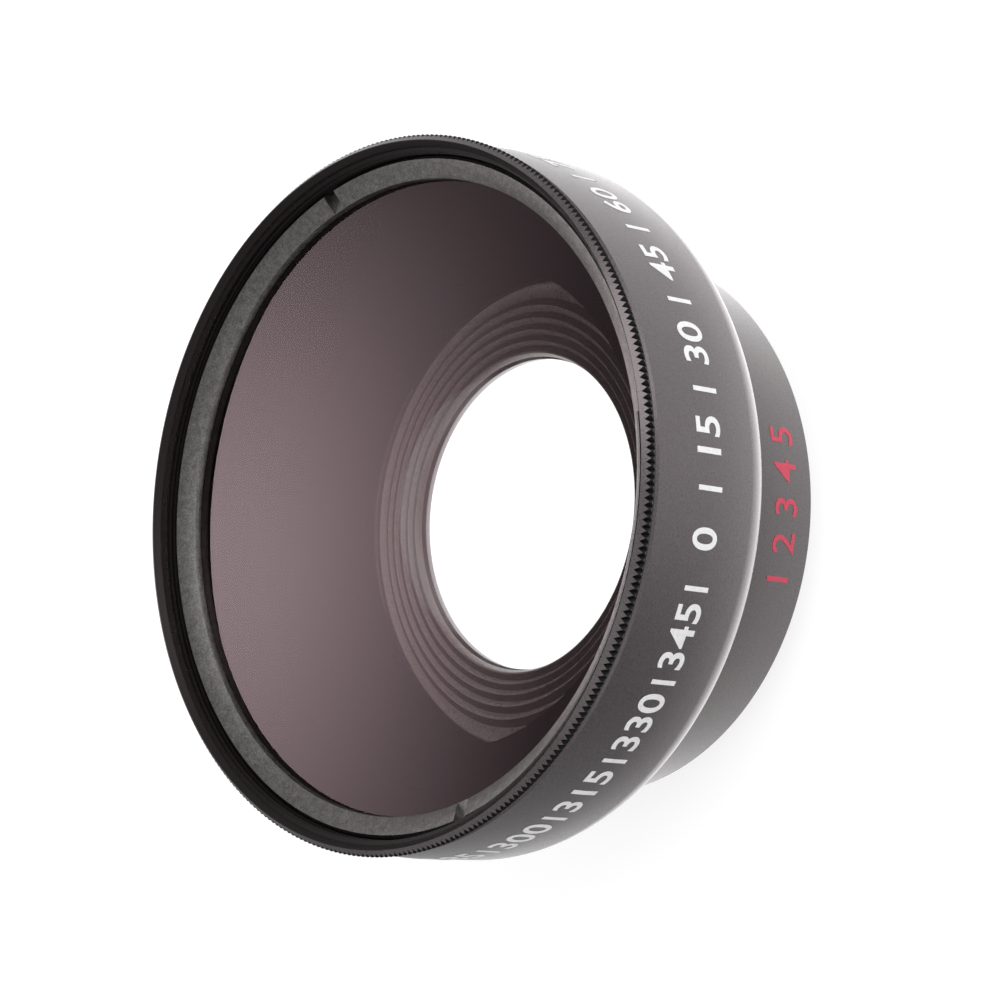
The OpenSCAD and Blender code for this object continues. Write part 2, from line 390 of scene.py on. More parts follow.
def finish_piece(piece, sharp=SHARP):
    """Applies the transforms and sets the shading."""
    bpy.ops.object.mode_set(mode="OBJECT")
    bpy.ops.object.transform_apply(location=True, rotation=True, scale=True)
    piece.data.name = piece.name
    bpy.ops.object.shade_smooth_by_angle(angle=math.radians(sharp))


def take(piece):
    """Selects one piece and makes it active."""
    clear_selection()
    bpy.context.view_layer.objects.active = piece
    piece.select_set(True)


def unpick(piece, kind):
    """Deselects the piece's vertices or faces."""
    take(piece)
    bpy.ops.object.mode_set(mode="EDIT")
    bpy.ops.mesh.select_mode(type=kind)
    bpy.ops.mesh.select_all(action="DESELECT")
    bpy.ops.object.mode_set(mode="OBJECT")


def pick(piece, test):
    """Selects the vertices that pass a test of (angle, radius, height), lengths in millimetres."""
    unpick(piece, "VERT")
    for v in piece.data.vertices:
        v.select = test(math.atan2(v.co.y, v.co.x), math.hypot(v.co.x, v.co.y) / MM, v.co.z / MM)
    bpy.ops.object.mode_set(mode="EDIT")


def pick_faces(piece, test):
    """Selects the faces whose middle passes a test of (radius, height, upward part of the normal)."""
    unpick(piece, "FACE")
    for f in piece.data.polygons:
        f.select = test(math.hypot(f.center.x, f.center.y) / MM, f.center.z / MM, f.normal.z)
    bpy.ops.object.mode_set(mode="EDIT")


def paint_faces(piece, slot, test):
    """Gives the faces that pass a test one of the piece's materials."""
    pick_faces(piece, test)
    piece.active_material_index = slot
    bpy.ops.object.material_slot_assign()
    bpy.ops.object.mode_set(mode="OBJECT")


def thread(name, root_r, crest_r, low, high, pitch):
    """A helical V ridge from root_r to crest_r, sunk a little into the wall it stands on."""
    sunk = root_r + math.copysign(SUNK, root_r - crest_r)
    half, flat = pitch * 0.42, pitch * 0.06
    middle = low + half
    points = [(sunk, low), (crest_r, middle - flat), (crest_r, middle + flat), (sunk, low + 2 * half)]
    piece = lone_vertex(name, points[0])
    draw_outline(points, closed=True)
    close_up()
    bpy.ops.object.mode_set(mode="OBJECT")
    bpy.ops.object.transform_apply(location=True, rotation=True, scale=True)
    turns = (high - low - 2 * half) / pitch
    bpy.ops.object.modifier_add(type="SCREW")
    screw = piece.modifiers[-1]
    screw.angle = math.tau * turns
    screw.screw_offset = pitch * MM * turns
    screw.steps = round(THREAD_STEPS * turns)
    screw.render_steps = screw.steps
    bpy.ops.object.modifier_apply(modifier=screw.name)
    bpy.ops.object.mode_set(mode="EDIT")
    bpy.ops.mesh.select_all(action="DESELECT")
    bpy.ops.mesh.select_non_manifold()
    bpy.ops.mesh.edge_face_add()
    close_up()
    finish_piece(piece)
    return piece


def saw_cuts(piece, low, high, inner, outer, width, turn):
    """Two spanner slots across a ring, on opposite sides."""
    for side in (0, math.pi):
        clear_selection()
        bpy.ops.mesh.primitive_cube_add(size=MM)
        cutter = bpy.context.object
        bpy.ops.transform.resize(value=(outer - inner + 2, width, high - low))
        bpy.ops.transform.translate(value=((outer + inner) / 2 * MM, 0, (low + high) / 2 * MM))
        bpy.ops.transform.rotate(value=-(turn + side), orient_axis="Z", center_override=(0, 0, 0))
        take(piece)
        bpy.ops.object.modifier_add(type="BOOLEAN")
        saw = piece.modifiers[-1]
        saw.operation = "DIFFERENCE"
        saw.object = cutter
        saw.solver = "EXACT"
        bpy.ops.object.modifier_apply(modifier=saw.name)
        bpy.data.objects.remove(cutter)
    bpy.ops.object.shade_smooth_by_angle(angle=math.radians(SHARP))


# Finishes

def shader_tree(name):
    """An empty node material: its tree, its output and Object coordinates."""
    material = bpy.data.materials.new(name)
    material.use_nodes = True
    tree = material.node_tree
    tree.nodes.clear()
    output = tree.nodes.new("ShaderNodeOutputMaterial")
    where = tree.nodes.new("ShaderNodeTexCoord")
    return material, tree, output, where.outputs["Object"]


def rgba(colour, factor=1.0):
    """An opaque colour, lightened or darkened by a factor."""
    return [c * factor for c in colour] + [1.0]


def noise(tree, place, scale, detail, rough):
    """Procedural noise at an object's own coordinates."""
    node = tree.nodes.new("ShaderNodeTexNoise")
    node.inputs["Scale"].default_value = scale
    node.inputs["Detail"].default_value = detail
    node.inputs["Roughness"].default_value = rough
    tree.links.new(place, node.inputs["Vector"])
    return node.outputs["Fac"]


def ramp(tree, value, low, high, first, second):
    """Blends two colours over a stretch of value."""
    node = tree.nodes.new("ShaderNodeValToRGB")
    node.color_ramp.elements[0].position = low
    node.color_ramp.elements[0].color = first
    node.color_ramp.elements[1].position = high
    node.color_ramp.elements[1].color = second
    tree.links.new(value, node.inputs["Fac"])
    return node.outputs["Color"]


def spread(tree, value, low, high, start=0.0, end=1.0):
    """Stretches a value between start and end on to low to high."""
    node = tree.nodes.new("ShaderNodeMapRange")
    node.inputs["From Min"].default_value = start
    node.inputs["From Max"].default_value = end
    node.inputs["To Min"].default_value = low
    node.inputs["To Max"].default_value = high
    tree.links.new(value, node.inputs["Value"])
    return node.outputs["Result"]


def faded(tree, value, low, high, start, end):
    """As spread, with soft ends."""
    result = spread(tree, value, low, high, start, end)
    result.node.interpolation_type = "SMOOTHSTEP"
    return result


def bump(tree, value, strength, distance):
    """Normals roughened by a value."""
    node = tree.nodes.new("ShaderNodeBump")
    node.inputs["Strength"].default_value = strength
    node.inputs["Distance"].default_value = distance
    tree.links.new(value, node.inputs["Height"])
    return node.outputs["Normal"]


def feed(tree, socket, value):
    """Sets an input to a number or links it to another node's output."""
    if isinstance(value, (int, float)):
        socket.default_value = value
    else:
        tree.links.new(value, socket)


def maths(tree, operation, first, second):
    """One Math node. Each input is a socket or a number."""
    node = tree.nodes.new("ShaderNodeMath")
    node.operation = operation
    feed(tree, node.inputs[0], first)
    feed(tree, node.inputs[1], second)
    return node.outputs["Value"]


def rays(tree, *kinds):
    """1 for rays of the given kinds, and 0 for the rest."""
    path = tree.nodes.new("ShaderNodeLightPath")
    total = path.outputs[kinds[0]]
    for kind in kinds[1:]:
        total = maths(tree, "MAXIMUM", total, path.outputs[kind])
    return total


def either(tree, factor, first, second):
    """Mixes two shaders."""
    node = tree.nodes.new("ShaderNodeMixShader")
    tree.links.new(factor, node.inputs["Fac"])
    tree.links.new(first, node.inputs[1])
    tree.links.new(second, node.inputs[2])
    return node.outputs["Shader"]


def anodised(name, colour, roughness=0.28, grain=0.35, metal=0.0, mottle=0.93, level=1.0):
    """Fine-blasted, anodised aluminium: a dark satin skin with a powdery grain and warm reflections."""
    material, tree, output, place = shader_tree(name)
    shader = tree.nodes.new("ShaderNodeBsdfPrincipled")
    fine = noise(tree, place, GRAIN_SCALE, 3, 0.7)
    cloud = noise(tree, place, METAL_CLOUD_SCALE if metal else CLOUD_SCALE, 2, 0.5)
    low, high = rgba(colour, 0.2 + 0.5 * metal), rgba(colour, 2.6 - 1.3 * metal)
    mix = tree.nodes.new("ShaderNodeMix")
    mix.data_type = "RGBA"
    mix.blend_type = "MULTIPLY"
    mix.inputs["Factor"].default_value = 1.0
    tree.links.new(ramp(tree, fine, 0.38, 0.66, low, high), mix.inputs["A"])
    tree.links.new(ramp(tree, cloud, 0.35, 0.65, rgba(WHITE, mottle), rgba(WHITE)), mix.inputs["B"])
    tree.links.new(mix.outputs["Result"], shader.inputs["Base Color"])
    tree.links.new(spread(tree, fine, roughness - 0.06, roughness + 0.08), shader.inputs["Roughness"])
    shader.inputs["Metallic"].default_value = metal
    shader.inputs["Specular IOR Level"].default_value = level
    shader.inputs["Specular Tint"].default_value = rgba(ANODISED_TINT)
    tree.links.new(bump(tree, fine, grain, GRAIN_HEIGHT), shader.inputs["Normal"])
    tree.links.new(shader.outputs["BSDF"], output.inputs["Surface"])
    return material


def matt_black(name, colour, roughness, level):
    """Flat black paint, as inside a lens."""
    material, tree, output, place = shader_tree(name)
    shader = tree.nodes.new("ShaderNodeBsdfPrincipled")
    fine = noise(tree, place, PAINT_SCALE, 2, 0.6)
    uneven = ramp(tree, fine, 0.3, 0.7, rgba(colour, 0.7), rgba(colour, 1.3))
    tree.links.new(uneven, shader.inputs["Base Color"])
    shader.inputs["Specular IOR Level"].default_value = level
    shader.inputs["Specular Tint"].default_value = rgba(PAINT_TINT)
    tree.links.new(spread(tree, fine, roughness - 0.1, roughness + 0.1), shader.inputs["Roughness"])
    tree.links.new(shader.outputs["BSDF"], output.inputs["Surface"])
    return material


def knurl_black(name, root, crest):
    """Painted shade on the knurl: black at the bottom of the grooves and lighter along the crests, set by
    the distance from the axis.
    """
    material, tree, output, place = shader_tree(name)
    shader = tree.nodes.new("ShaderNodeBsdfPrincipled")
    flat = tree.nodes.new("ShaderNodeVectorMath")
    flat.operation = "MULTIPLY"
    flat.inputs[1].default_value = (1, 1, 0)
    tree.links.new(place, flat.inputs[0])
    length = tree.nodes.new("ShaderNodeVectorMath")
    length.operation = "LENGTH"
    tree.links.new(flat.outputs["Vector"], length.inputs[0])
    depth = spread(tree, length.outputs["Value"], 0.0, 1.0, root, crest)
    colour = ramp(tree, depth, 0.85, 1.0, rgba(GROOVE_PAINTED_SHADE), rgba(CREST_BLACK))
    tree.links.new(colour, shader.inputs["Base Color"])
    shader.inputs["Roughness"].default_value = 0.6
    shader.inputs["Specular IOR Level"].default_value = 0.1
    tree.links.new(shader.outputs["BSDF"], output.inputs["Surface"])
    return material


def clear_glass(name, colour, coating, level):
    """Coated optical glass. Lamps pass it without a hard shadow."""
    material, tree, output, _ = shader_tree(name)
    shader = tree.nodes.new("ShaderNodeBsdfPrincipled")
    shader.inputs["Base Color"].default_value = rgba(colour)
    shader.inputs["Roughness"].default_value = 0.0
    shader.inputs["IOR"].default_value = GLASS_IOR
    shader.inputs["Transmission Weight"].default_value = 1.0
    shader.inputs["Specular IOR Level"].default_value = level
    shader.inputs["Specular Tint"].default_value = rgba(coating)
    through = tree.nodes.new("ShaderNodeBsdfTransparent")
    mix = either(tree, rays(tree, "Is Shadow Ray"), shader.outputs["BSDF"], through.outputs["BSDF"])
    tree.links.new(mix, output.inputs["Surface"])
    return material


def ink(name, colour):
    """Screen-printed ink with slightly uneven cover."""
    material, tree, output, place = shader_tree(name)
    shader = tree.nodes.new("ShaderNodeBsdfPrincipled")
    fine = noise(tree, place, INK_SCALE, 2, 0.6)
    uneven = ramp(tree, fine, 0.3, 0.7, rgba(colour, 0.88), rgba(colour))
    tree.links.new(uneven, shader.inputs["Base Color"])
    shader.inputs["Roughness"].default_value = 0.55
    tree.links.new(shader.outputs["BSDF"], output.inputs["Surface"])
    return material


def dress(piece, body, slot, *materials):
    """Gives a finished piece its materials and body. The slot is not used."""
    piece.data.materials.clear()
    for material in materials:
        piece.data.materials.append(material)
    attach(piece, body)


# Pieces

class LENS_OT_front_barrel(bpy.types.Operator):
    """Turn the front barrel with its knurled rim, bowl, shoulder and bores"""

    bl_idname = "lens.front_barrel"
    bl_label = "Front barrel"

    def execute(self, context):
        b = barrel()
        rim, root = b.rim_r / MM, (b.rim_r - b.groove) / MM
        band_z = RIM_Z - b.band / MM
        front, rear, slope = b.front_chamfer / MM, b.rear_chamfer / MM, b.rear_slope / MM
        groove = b.groove / MM
        lip = rim - front
        mouth_ease, blend = 0.03, 0.01
        first_angle, last_angle = -4, -80
        stop_z, bore_z = SPIGOT_Z + 0.1, GLASS_Z - 0.75
        bowl, fillet = b.bowl_r / MM, b.shoulder_r / MM
        centre = (bowl - fillet, RIM_Z - b.shoulder_start / MM)
        face_z = centre[1] + fillet * math.sin(math.radians(last_angle))
        relief = 0.3
        knurl = [
            (lip + mouth_ease, RIM_Z),
            (root, RIM_Z - front + groove),
            (rim, RIM_Z - front),
            (rim, band_z + slope),
            (root, band_z + slope * (1 - groove / rear)),
            (rim - rear, band_z),
        ]
        side = [(b.bowl_front_r / MM, band_z - relief), (bowl - blend, RIM_Z - b.bowl_full / MM)]
        side += arc(centre, fillet, first_angle, last_angle, 26)
        neck = eased(
            [
                (b.neck_r / MM, face_z),
                (b.neck_r / MM, SEAM_Z),
                (b.join_r / MM, SEAM_Z),
                (b.join_r / MM, stop_z),
                (b.seat_r / MM, stop_z),
                (b.seat_r / MM, FLANGE_Z),
                (b.flange_bore_r / MM, FLANGE_Z),
                (b.glass_bore_r / MM, FLANGE_Z + glass().bevel / MM),
                (b.glass_bore_r / MM, bore_z),
                (b.ring_bore_r / MM, bore_z),
                (b.ring_bore_r / MM, RIDGE_Z),
                (b.filter_r / MM, RIDGE_Z),
                (b.filter_r / MM, RIM_Z - b.lead_in / MM),
                (lip - mouth_ease, RIM_Z),
            ],
            0.1,
            2,
        )
        teeth = b.teeth
        piece = turned("front_barrel_turned", knurl + side + neck, teeth * 2, sharp=24)
        tooth = math.tau / teeth

        def in_groove(angle, radius, height):
            between = abs((angle / tooth) % 1 - 0.5) < 0.1
            return between and abs(radius - rim) < 0.01 and band_z < height < RIM_Z

        pick(piece, in_groove)
        bpy.ops.transform.resize(value=(root / rim, root / rim, 1), center_override=(0, 0, 0))

        def on_knurl(r, z, up):
            return r > root - 0.05 and band_z < z < RIM_Z - 0.1

        pick_faces(piece, on_knurl)
        bpy.ops.mesh.quads_convert_to_tris(quad_method="LONGEST_DIAGONAL", ngon_method="BEAUTY")
        finish_piece(piece, 24)
        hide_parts("front_barrel")
        body = anodised("anodised_barrel", b.black)
        # The inside of the mouth gets a darker black, partly painted shade
        inside = matt_black("barrel_inside_black_and_shade", INSIDE_BLACK_AND_SHADE, 0.45, 0.2)
        # Painted shade for the knurl's grooves, darker the deeper they go
        grooves = knurl_black("knurl_groove_painted_shade", b.rim_r - b.groove, b.rim_r)
        dress(piece, FRONT, "black_anodised", body, inside, grooves)
        # The barrel's black with painted shade inside the mouth
        paint_faces(piece, 1, lambda r, z, up: r < lip - 0.05 and z > FLANGE_Z - 0.2)
        # The flanks of the knurl's grooves get the painted shade
        paint_faces(piece, 2, lambda r, z, up: on_knurl(r, z, up) and abs(up) < KNURL_STEEP)

        first_turn = GLASS_Z + ring().edge_h / MM + 0.2
        last_turn = RIM_Z - b.lead_in / MM + 0.25
        filter_r, crest_r = b.filter_r / MM, b.filter_crest_r / MM
        turns = thread("filter_thread_turns", filter_r, crest_r, first_turn, last_turn, b.pitch / MM)
        # The filter thread gets the same darker black, partly painted shade
        dress(turns, FRONT, "black_anodised", matt_black("thread_black", INSIDE_BLACK_AND_SHADE, 0.3, 0.2))
        return {"FINISHED"}


class LENS_OT_front_element(bpy.types.Operator):
    """Grind the front element and blacken its flange and edge"""

    bl_idname = "lens.front_element"
    bl_label = "Front element"

    def execute(self, context):
        g = glass()
        hollow_r, edge_r = g.hollow_r / MM, g.hollow_edge_r / MM
        vertex_z = GLASS_Z - g.middle / MM
        centre = (0, vertex_z - hollow_r)
        edge_angle = math.degrees(math.acos(edge_r / hollow_r))
        edge_break = 0.2
        outline = [
            (0, GLASS_Z),
            (GLASS_R - edge_break, GLASS_Z),
            (GLASS_R, GLASS_Z - edge_break),
            (GLASS_R, FLANGE_Z + g.bevel / MM),
            (g.flange_r / MM, FLANGE_Z + APART),
            (edge_r + 0.1, FLANGE_Z + APART),
        ]
        outline += arc(centre, hollow_r, edge_angle, 90, 40)
        outline[-1] = (0, vertex_z)
        piece = turned("front_element_ground", outline, 240, closed=False, sharp=20)
        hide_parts("front_element")
        paint = matt_black("flange_paint", FLANGE_BLACK, 0.8, 0.0)
        coated = clear_glass("coated_front_glass", g.clear, g.coating, 1.0)
        plain = clear_glass("hollow_face_glass", g.clear, WHITE, WEAK_REFLECTION)
        dress(piece, FRONT, "coated_glass", coated, paint, plain)

        def painted(r, z, up):
            on_edge = r > GLASS_R - 0.3 and z < GLASS_Z - 0.1
            on_flange = r > edge_r and z < FLANGE_Z + g.bevel / MM
            return on_edge or on_flange

        paint_faces(piece, 1, painted)
        paint_faces(piece, 2, lambda r, z, up: r < edge_r and z < GLASS_Z - 0.1)
        return {"FINISHED"}


class LENS_OT_front_ring(bpy.types.Operator):
    """Turn the ring that holds the front element and saw its spanner slots"""

    bl_idname = "lens.front_ring"
    bl_label = "Front retaining ring"

    def execute(self, context):
        s = ring()
        bore = s.bore_r / MM
        outline = [
            (bore, GLASS_Z + APART),
            (RING_R, GLASS_Z + APART),
            (RING_R, GLASS_Z + s.edge_h / MM),
            (s.ridge_r / MM, RIDGE_Z),
            (bore, GLASS_Z + s.lip_h / MM),
        ]
        piece = turned("front_ring_turned", eased(outline, 0.07, 2), 360)
        slot_z = GLASS_Z + (s.lip_h - s.slot_floor) / MM
        saw_cuts(piece, slot_z, RIDGE_Z + 1, bore, RING_R, s.slot_w / MM, s.slot_turn)
        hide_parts("front_retaining_ring")
        dress(piece, FRONT, "ring_grey", anodised("ring_grey_anodised", s.grey, 0.42, 0.8, 1.0, 0.75))
        return {"FINISHED"}


class LENS_OT_macro_housing(bpy.types.Operator):
    """Turn the macro housing with its stepped baffle and cut its threads"""

    bl_idname = "lens.macro_housing"
    bl_label = "Macro housing"

    def execute(self, context):
        m = macro()
        chamfer = m.chamfer / MM
        ring_z, top_z = m.thread_len / MM, SEAM_Z - m.ring_gap / MM
        core, over = m.thread_r / MM - CORE_DEPTH, m.relief_over / MM
        spigot_core = m.spigot_r / MM - CORE_DEPTH
        rim_break = 0.15
        mouth, ledge = m.mouth_r / MM, m.ledge_r / MM
        ledge_z, first_z = m.ledge_z / MM, SPIGOT_Z - m.baffle_set / MM
        inward = (mouth - ledge) / m.baffle_steps
        drop = (first_z - ledge_z - m.ledge_h / MM) / (m.baffle_steps - 1)
        outside = [
            (core - chamfer, FOOT_Z),
            (core, FOOT_Z + chamfer),
            (core, ring_z + over),
            (m.thread_r / MM + over, ring_z + over),
            (m.thread_r / MM + over, ring_z),
            (MACRO_R - chamfer, ring_z),
            (MACRO_R, ring_z + chamfer),
            (MACRO_R, top_z - rim_break),
            (MACRO_R - rim_break, top_z),
            (spigot_core, top_z),
            (spigot_core, SPIGOT_Z - chamfer),
            (spigot_core - chamfer, SPIGOT_Z),
        ]
        edge = m.edge_round / MM
        baffle = [(mouth, SPIGOT_Z, edge)]
        for i in range(m.baffle_steps):
            z = first_z - i * drop
            baffle += [(mouth - i * inward, z), (mouth - (i + 1) * inward, z, edge)]
        bore = [
            (ledge, ledge_z),
            (m.bore_r / MM, ledge_z),
            (m.bore_r / MM, FOOT_Z),
        ]
        outline = eased(outside + baffle + bore, 0.07, 4)
        piece = turned("macro_housing_turned", outline, 300)
        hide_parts("macro_housing")
        shell = anodised("anodised_macro", m.black, level=0.4)
        dark = matt_black("baffle_black", BAFFLE_BLACK, 0.22, 1.0)
        # The baffle's walls get painted light, lighter than its flats
        painted_wall_light = matt_black("baffle_wall_painted_light", BAFFLE_WALL_PAINTED_LIGHT, 0.3, 0.8)
        dress(piece, MACRO, "macro_black", shell, dark, painted_wall_light)

        def on_baffle(r, z, up):
            return r < mouth + 0.4 and z > ledge_z - 0.1

        paint_faces(piece, 1, on_baffle)
        # Painted light on the baffle's steep walls
        paint_faces(piece, 2, lambda r, z, up: on_baffle(r, z, up) and abs(up) < BAFFLE_STEEP)

        pitch = barrel().pitch / MM
        cut_black = anodised("macro_thread_black", m.black, 0.3, 0.1)
        gap, seam_gap = 0.1, 0.4
        camera = thread(
            "camera_thread_turns", core, m.thread_r / MM, FOOT_Z + gap, ring_z - m.relief_w / MM, pitch
        )
        dress(camera, MACRO, "macro_black", cut_black)
        joining = thread(
            "joining_thread_turns", spigot_core, m.spigot_r / MM, top_z + seam_gap, SPIGOT_Z - gap, pitch
        )
        dress(joining, MACRO, "macro_black", cut_black)
        bore_r = m.bore_r / MM
        crest_r = bore_r - 0.3
        holding = thread("keeper_thread_turns", bore_r, crest_r, FOOT_Z + 2 * gap, KEEPER_LOW - gap, pitch)
        dress(holding, MACRO, "macro_black", cut_black)
        return {"FINISHED"}


class LENS_OT_macro_element(bpy.types.Operator):
    """Grind the macro element"""

    bl_idname = "lens.macro_element"
    bl_label = "Macro element"

    def execute(self, context):
        r = glass().macro_face_r / MM
        edge = MACRO_GLASS_R
        spread_angle = math.degrees(math.asin(edge / r))
        front = arc((0, MACRO_GLASS_HIGH - r), r, 90, 90 - spread_angle, 24)
        rear = arc((0, MACRO_GLASS_LOW + r), r, -90 + spread_angle, -90, 24)
        outline = [(0, MACRO_GLASS_HIGH)] + front[1:] + rear[:-1] + [(0, MACRO_GLASS_LOW)]
        piece = turned("macro_element_ground", outline, 200, closed=False)
        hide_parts("macro_element")
        paint = matt_black("macro_edge_paint", EDGE_BLACK, 0.7, 0.5)
        clear = clear_glass("macro_glass", glass().clear, WHITE, WEAK_REFLECTION)
        dress(piece, MACRO, "coated_glass", clear, paint)
        paint_faces(piece, 1, lambda radius, z, up: radius > edge - 0.01)
        return {"FINISHED"}


class LENS_OT_macro_keeper(bpy.types.Operator):
    """Turn the ring that holds the macro element and saw its spanner slots"""

    bl_idname = "lens.macro_keeper"
    bl_label = "Macro retaining ring"

    def execute(self, context):
        m = macro()
        bore = m.keeper_bore_r / MM
        outline = [
            (bore, KEEPER_LOW),
            (KEEPER_R, KEEPER_LOW),
            (KEEPER_R, KEEPER_HIGH),
            (bore, KEEPER_HIGH),
        ]
        piece = turned("macro_ring_turned", eased(outline, 0.12, 2), 240)
        saw_cuts(piece, KEEPER_LOW - 1, KEEPER_LOW + m.slot_h / MM, bore, KEEPER_R, m.slot_w / MM, 0)
        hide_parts("macro_retaining_ring")
        dress(piece, MACRO, "macro_black", anodised("keeper_black", m.black, 0.4, 0.4))
        return {"FINISHED"}


def wrap(piece, radius_at, angle, height):
    """Lays flat figures round the axis: x runs along the girth and y up the side, in metres."""
    for v in piece.data.vertices:
        z = height + v.co.y
        r = radius_at(z) + v.co.z
        a = angle + v.co.x / radius_at(height)
        v.co = (r * math.cos(a), r * math.sin(a), z)


def figure(text, height, weight):
    """Plain figures as a thin flat solid, centred on the origin."""
    clear_selection()
    bpy.ops.object.text_add()
    word = bpy.context.object
    word.data.body = text
    word.data.size = height / FIGURE_SHARE
    word.data.align_x = "CENTER"
    word.data.align_y = "CENTER"
    word.data.offset = weight
    word.data.extrude = INK_H * MM
    word.data.space_character = FIGURE_SPACING
    bpy.ops.object.convert(target="MESH")
    word = bpy.context.object
    bpy.ops.object.mode_set(mode="EDIT")
    bpy.ops.mesh.select_all(action="SELECT")
    bpy.ops.mesh.remove_doubles(threshold=WELD / 2)
    bpy.ops.mesh.subdivide(number_cuts=1)
    bpy.ops.object.mode_set(mode="OBJECT")
    return word


def tick(width, height):
    """One printed tick."""
    clear_selection()
    bpy.ops.mesh.primitive_cube_add(size=1)
    mark = bpy.context.object
    bpy.ops.object.mode_set(mode="EDIT")
    bpy.ops.transform.resize(value=(width, height, 2 * INK_H * MM))
    bpy.ops.object.mode_set(mode="OBJECT")
    return mark


def joined(name, parts):
    """One piece made of several."""
    clear_selection()
    for part in parts:
        part.select_set(True)
    bpy.context.view_layer.objects.active = parts[0]
    bpy.ops.object.join()
    piece = bpy.context.object
    piece.name = name
    finish_piece(piece)
    return piece


class LENS_OT_printing(bpy.types.Operator):
    """Print plain figures and ticks round the bowl and the macro ring"""

    bl_idname = "lens.printing"
    bl_label = "Printed figures"

    def execute(self, context):
        p, b = marks(), barrel()
        slope_top = RIM_Z * MM - b.band
        slope_low = RIM_Z * MM - b.bowl_full

        def bowl_radius(z):
            share = min(1, (slope_top - z) / (slope_top - slope_low))
            return b.bowl_front_r + (b.bowl_r - b.bowl_front_r) * share

        def ring_radius(z):
            return MACRO_R * MM

        parts = []
        for degrees in range(0, 360, p.step):
            word = figure(str(degrees), p.letter_h, WHITE_WEIGHT * MM)
            wrap(word, bowl_radius, math.radians(degrees - 90), p.band_z)
            parts.append(word)
            mark = tick(TICK_W * MM, p.letter_h)
            wrap(mark, bowl_radius, math.radians(degrees - 90 + p.step / 2), p.band_z)
            parts.append(mark)
        white = joined("bowl_figures", parts)
        dress(white, FRONT, "black_anodised", ink("white_ink", p.white))

        parts = []
        for i, text in enumerate(RED_FIGURES):
            word = figure(text, p.red_h, RED_WEIGHT * MM)
            wrap(word, ring_radius, math.radians(RED_START + RED_STEP * i), p.red_z)
            parts.append(word)
        red = joined("macro_ring_figures", parts)
        dress(red, MACRO, "macro_black", ink("red_ink", p.red))
        return {"FINISHED"}


# Stage

class LENS_OT_stage(bpy.types.Operator):
    """Lay the floor and set the lamps, the world and the camera"""

    bl_idname = "lens.stage"
    bl_label = "Studio"

    def execute(self, context):
        s = studio()
        clear_selection()
        bpy.ops.mesh.primitive_plane_add(size=2)
        floor = context.object
        floor.name = "studio_floor"
        bpy.ops.transform.resize(value=(s.half_width,) * 3)
        bpy.ops.object.transform_apply(location=True, rotation=True, scale=True)
        floor.data.materials.append(floor_finish(s.floor))
        light_world()
        for name, place, width, power in LAMPS:
            lamp(name, place, LAMP_TARGET, width, power)
        place_camera(s)
        return {"FINISHED"}


def glow(tree, strength):
    """Plain white light."""
    node = tree.nodes.new("ShaderNodeEmission")
    feed(tree, node.inputs["Strength"], strength)
    return node.outputs["Emission"]


def floor_finish(colour):
    """A white floor that keeps the soft shadow of what stands on it.

    Glossy surfaces see it fade to one side and with distance, and brighter round the lens's foot.
    """
    material, tree, output, place = shader_tree("white_floor")
    diffuse = tree.nodes.new("ShaderNodeBsdfDiffuse")
    diffuse.inputs["Color"].default_value = rgba(colour)
    lit = tree.nodes.new("ShaderNodeAddShader")
    tree.links.new(diffuse.outputs["BSDF"], lit.inputs[0])
    tree.links.new(glow(tree, FLOOR_GLOW), lit.inputs[1])
    split = tree.nodes.new("ShaderNodeSeparateXYZ")
    tree.links.new(place, split.inputs["Vector"])
    away = tree.nodes.new("ShaderNodeVectorMath")
    away.operation = "LENGTH"
    tree.links.new(place, away.inputs[0])
    distance = away.outputs["Value"]
    across = faded(tree, split.outputs["X"], *FLOOR_ACROSS)
    across = maths(tree, "MULTIPLY", across, spread(tree, distance, *FLOOR_AWAY))
    gloss = maths(tree, "ADD", across, faded(tree, distance, *FOOT_GLOW))
    seen = either(tree, rays(tree, "Is Camera Ray"), diffuse.outputs["BSDF"], lit.outputs["Shader"])
    mirrored = either(tree, rays(tree, "Is Glossy Ray"), seen, glow(tree, gloss))
    through = either(tree, rays(tree, "Is Transmission Ray"), mirrored, glow(tree, FLOOR_THROUGH_GLASS))
    tree.links.new(through, output.inputs["Surface"])
    return material


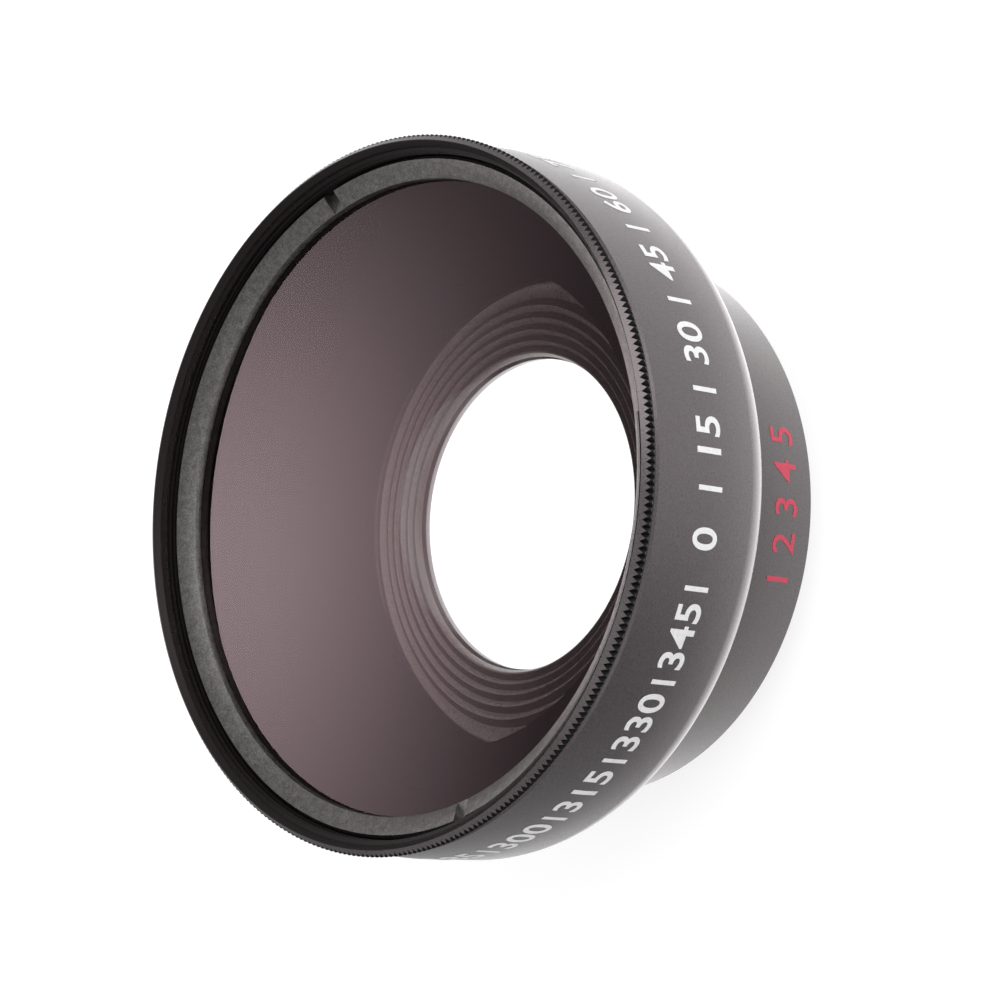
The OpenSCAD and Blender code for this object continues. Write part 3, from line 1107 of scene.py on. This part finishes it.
def light_world():
    """A white surround, a dim ceiling, a bright panel behind the lens, and even light for matt faces."""
    world = bpy.data.worlds.new("studio_world")
    bpy.context.scene.world = world
    world.use_nodes = True
    tree = world.node_tree
    tree.nodes.clear()
    output = tree.nodes.new("ShaderNodeOutputWorld")
    background = tree.nodes.new("ShaderNodeBackground")
    way = tree.nodes.new("ShaderNodeTexCoord")
    split = tree.nodes.new("ShaderNodeSeparateXYZ")
    tree.links.new(way.outputs["Generated"], split.inputs["Vector"])
    x, y, z = (split.outputs[axis] for axis in "XYZ")
    direct = maths(tree, "SUBTRACT", 1.0, rays(tree, "Is Transmission Ray"))
    behind = maths(tree, "MULTIPLY", spread(tree, y, *BEHIND), direct)
    ceiling = maths(tree, "MAXIMUM", spread(tree, y, *CEILING), behind)
    surround = spread(tree, z, *SURROUND)
    beside = maths(tree, "ABSOLUTE", maths(tree, "SUBTRACT", x, PANEL_MIDDLE), 0)
    panel = maths(tree, "MULTIPLY", faded(tree, z, *PANEL_TOP), faded(tree, beside, *PANEL_SIDE))
    panel = maths(tree, "MULTIPLY", panel, spread(tree, y, *PANEL_FRONT))
    panel = maths(tree, "MULTIPLY", panel, direct)
    room = maths(tree, "ADD", maths(tree, "MAXIMUM", surround, ceiling), panel)
    seen = tree.nodes.new("ShaderNodeMix")
    seen.inputs["A"].default_value = 1.0
    shown = rays(tree, "Is Camera Ray", "Is Glossy Ray", "Is Transmission Ray")
    tree.links.new(shown, seen.inputs["Factor"])
    tree.links.new(room, seen.inputs["B"])
    tree.links.new(seen.outputs["Result"], background.inputs["Strength"])
    tree.links.new(background.outputs["Background"], output.inputs["Surface"])


def lamp(name, place, target, width, power):
    """A square area lamp that faces its target."""
    clear_selection()
    bpy.ops.object.light_add(type="AREA", location=place)
    box = bpy.context.object
    box.name = name
    box.data.name = name
    box.data.size = width
    box.data.energy = power
    box.visible_transmission = False
    aim(box, target)


def aim(thing, target):
    """Turns a lamp towards a point."""
    way = Vector(target) - thing.location
    thing.rotation_euler = way.to_track_quat("-Z", "Y").to_euler()


def place_camera(s):
    """The photograph's viewpoint. The picture is turned so that the lens faces left."""
    clear_selection()
    bpy.ops.object.camera_add(location=s.eye)
    eye = bpy.context.object
    eye.name = "studio_camera"
    eye.data.lens = s.focal
    eye.data.sensor_width = SENSOR_W
    eye.data.clip_start = NEAREST
    right = Vector(PICTURE_RIGHT)
    up = Vector(PICTURE_UP)
    back = right.cross(up).normalized()
    right = up.cross(back).normalized()
    up = back.cross(right)
    eye.rotation_euler = Matrix((right, up, back)).transposed().to_euler()
    bpy.context.scene.camera = eye
    bpy.context.scene.view_settings.view_transform = "Standard"


class LENS_PT_sidebar(bpy.types.Panel):
    """Lists the steps that build the lens"""

    bl_label = "Conversion lens"
    bl_idname = "LENS_PT_sidebar"
    bl_space_type = "VIEW_3D"
    bl_region_type = "UI"
    bl_category = "Lens"

    def draw(self, context):
        for step in STEPS:
            self.layout.operator(step.bl_idname)
        for group, _ in SETTINGS:
            column = self.layout.column()
            settings = getattr(context.scene, group)
            for name in settings.__annotations__:
                column.prop(settings, name)


STEPS = (
    LENS_OT_front_barrel,
    LENS_OT_front_element,
    LENS_OT_front_ring,
    LENS_OT_macro_housing,
    LENS_OT_macro_element,
    LENS_OT_macro_keeper,
    LENS_OT_printing,
    LENS_OT_stage,
)
SETTINGS = (
    ("lens_barrel", BarrelSettings),
    ("lens_glass", GlassSettings),
    ("lens_ring", RingSettings),
    ("lens_macro", MacroSettings),
    ("lens_print", PrintSettings),
    ("lens_stage", StageSettings),
)


def register():
    for name, group in SETTINGS:
        bpy.utils.register_class(group)
        setattr(bpy.types.Scene, name, PointerProperty(type=group))
    for step in STEPS:
        bpy.utils.register_class(step)
    bpy.utils.register_class(LENS_PT_sidebar)


def unregister():
    bpy.utils.unregister_class(LENS_PT_sidebar)
    for step in reversed(STEPS):
        bpy.utils.unregister_class(step)
    for name, group in reversed(SETTINGS):
        delattr(bpy.types.Scene, name)
        bpy.utils.unregister_class(group)


def main():
    register()
    bpy.ops.lens.front_barrel()
    bpy.ops.lens.front_element()
    bpy.ops.lens.front_ring()
    bpy.ops.lens.macro_housing()
    bpy.ops.lens.macro_element()
    bpy.ops.lens.macro_keeper()
    bpy.ops.lens.printing()
    bpy.ops.lens.stage()


if __name__ == "__main__":
    main()
